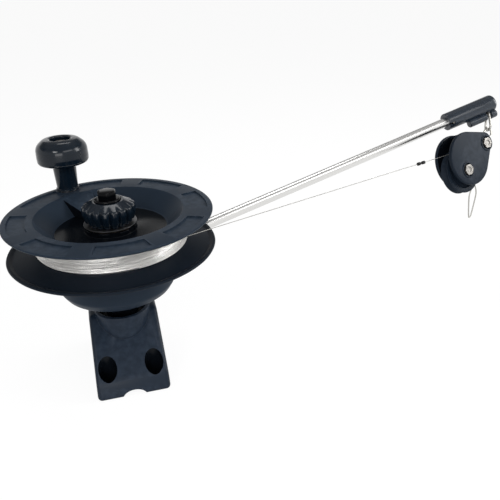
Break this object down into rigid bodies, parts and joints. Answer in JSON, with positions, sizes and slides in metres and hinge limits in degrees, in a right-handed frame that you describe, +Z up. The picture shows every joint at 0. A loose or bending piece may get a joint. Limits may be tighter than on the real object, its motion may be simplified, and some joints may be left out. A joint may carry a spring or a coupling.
{
  "type": "downrigger",
  "caption": "Manual downrigger with a dished horizontal cable reel, crank knob, lobed brake knob, tubular boom with swinging pulley block, and wedge-shaped deck bracket.",
  "frame": {"origin": "where the reel shaft's axis meets the bracket's flat underside", "axes": "+Z up the reel shaft, +X the way the boom points seen from above, +Y away from the bracket's sloping front, which is turned by 5 degrees"},
  "size_m": [0.6566, 0.2384, 0.2642],
  "materials": {
    "black_plastic": "satin dark blue-grey glass-filled plastic",
    "satin_knob": "satin black, soft highlights",
    "stainless_steel": "bright stainless",
    "cable_strand": "fine stranded steel wire",
    "brake_lining": "woven friction lining",
    "bronze": "sintered bronze",
    "black_rubber": "matt"
  },
  "bodies": {
    "bracket": {"mounting_bracket": "black_plastic"},
    "frame": {"mounting_post": "black_plastic", "frame_cup": "black_plastic", "main_shaft": "stainless_steel", "frame_screw_1": "stainless_steel", "frame_screw_2": "stainless_steel", "frame_screw_3": "stainless_steel", "frame_screw_4": "stainless_steel", "lower_brake_lining": "brake_lining", "boom_tube": "stainless_steel", "boom_bolt": "stainless_steel", "boom_nut": "stainless_steel", "boom_end_sleeve": "black_plastic", "sleeve_pin": "stainless_steel", "link_pin": "stainless_steel", "shaft_cap": "black_plastic", "cable_run": "cable_strand", "cable_stop": "black_rubber"},
    "spool": {"upper_flange": "black_plastic", "lower_flange": "black_plastic", "lower_bush": "bronze", "upper_bush": "bronze", "spool_screw_1": "stainless_steel", "spool_screw_2": "stainless_steel", "spool_screw_3": "stainless_steel", "spool_screw_4": "stainless_steel", "cable_winding": "cable_strand", "winding_core": "cable_strand", "crank_washer": "stainless_steel", "crank_bolt": "stainless_steel", "crank_nut": "stainless_steel"},
    "crank": {"crank_knob": "satin_knob"},
    "brake_plate": {"pressure_plate": "stainless_steel", "upper_brake_lining": "brake_lining", "disc_spring": "stainless_steel"},
    "brake_wheel": {"brake_knob": "black_plastic", "knob_insert": "bronze"},
    "link": {"hanging_link": "stainless_steel"},
    "block": {"front_cheek": "black_plastic", "rear_cheek": "black_plastic", "hanger_bolt": "stainless_steel", "hanger_nut": "stainless_steel", "axle_bolt": "stainless_steel", "axle_nut": "stainless_steel", "sheave_bush": "bronze", "hanger_eye": "stainless_steel", "front_spacer": "stainless_steel", "rear_spacer": "stainless_steel", "cable_tail": "cable_strand", "cable_crimp": "stainless_steel"},
    "sheave_wheel": {"sheave": "black_plastic"},
    "snap": {"cable_snap": "stainless_steel"}
  },
  "joints": [
    {"name": "lift_out", "type": "slide", "parent": "bracket", "child": "frame", "axis": [0, 0, 1], "range_m": [0, 0.075]},
    {"name": "spool_turn", "type": "hinge", "parent": "frame", "child": "spool", "pos_m": [0, 0, 0.17], "axis": [0, 0, 1], "continuous": true},
    {"name": "crank_knob_turn", "type": "hinge", "parent": "spool", "child": "crank", "pos_m": [-0.03437, 0.09444, 0.195], "axis": [0, 0, 1], "continuous": true},
    {"name": "brake_lift", "type": "slide", "parent": "frame", "child": "brake_plate", "axis": [0, 0, 1], "range_m": [0, 0.0015]},
    {"name": "brake_turn", "type": "hinge", "parent": "brake_plate", "child": "brake_wheel", "pos_m": [0, 0, 0.2], "axis": [0, 0, 1], "range_deg": [0, 360]},
    {"name": "link_swing", "type": "hinge", "parent": "frame", "child": "link", "pos_m": [0.52614, 0.03, 0.23943], "axis": [0.9677, 0, 0.2521], "range_deg": [-20, 60], "deforming": ["cable_run"]},
    {"name": "block_swing", "type": "hinge", "parent": "link", "child": "block", "pos_m": [0.52154, 0.01952, 0.21973], "axis": [-0.1899, 0.8936, -0.4067], "range_deg": [-75, 5], "deforming": ["cable_run"]},
    {"name": "sheave_turn", "type": "hinge", "parent": "block", "child": "sheave_wheel", "pos_m": [0.45982, -0.00659, 0.18037], "axis": [-0.1899, 0.8936, -0.4067], "continuous": true},
    {"name": "snap_swing", "type": "hinge", "parent": "block", "child": "snap", "pos_m": [0.48625, -0.00733, 0.15839], "axis": [-0.2079, 0.9781, 0], "range_deg": [-45, 8]}
  ],
  "couplings": [
    {"joint": "brake_lift", "follows": "brake_turn", "m_per_rad": 0.0002387}
  ]
}
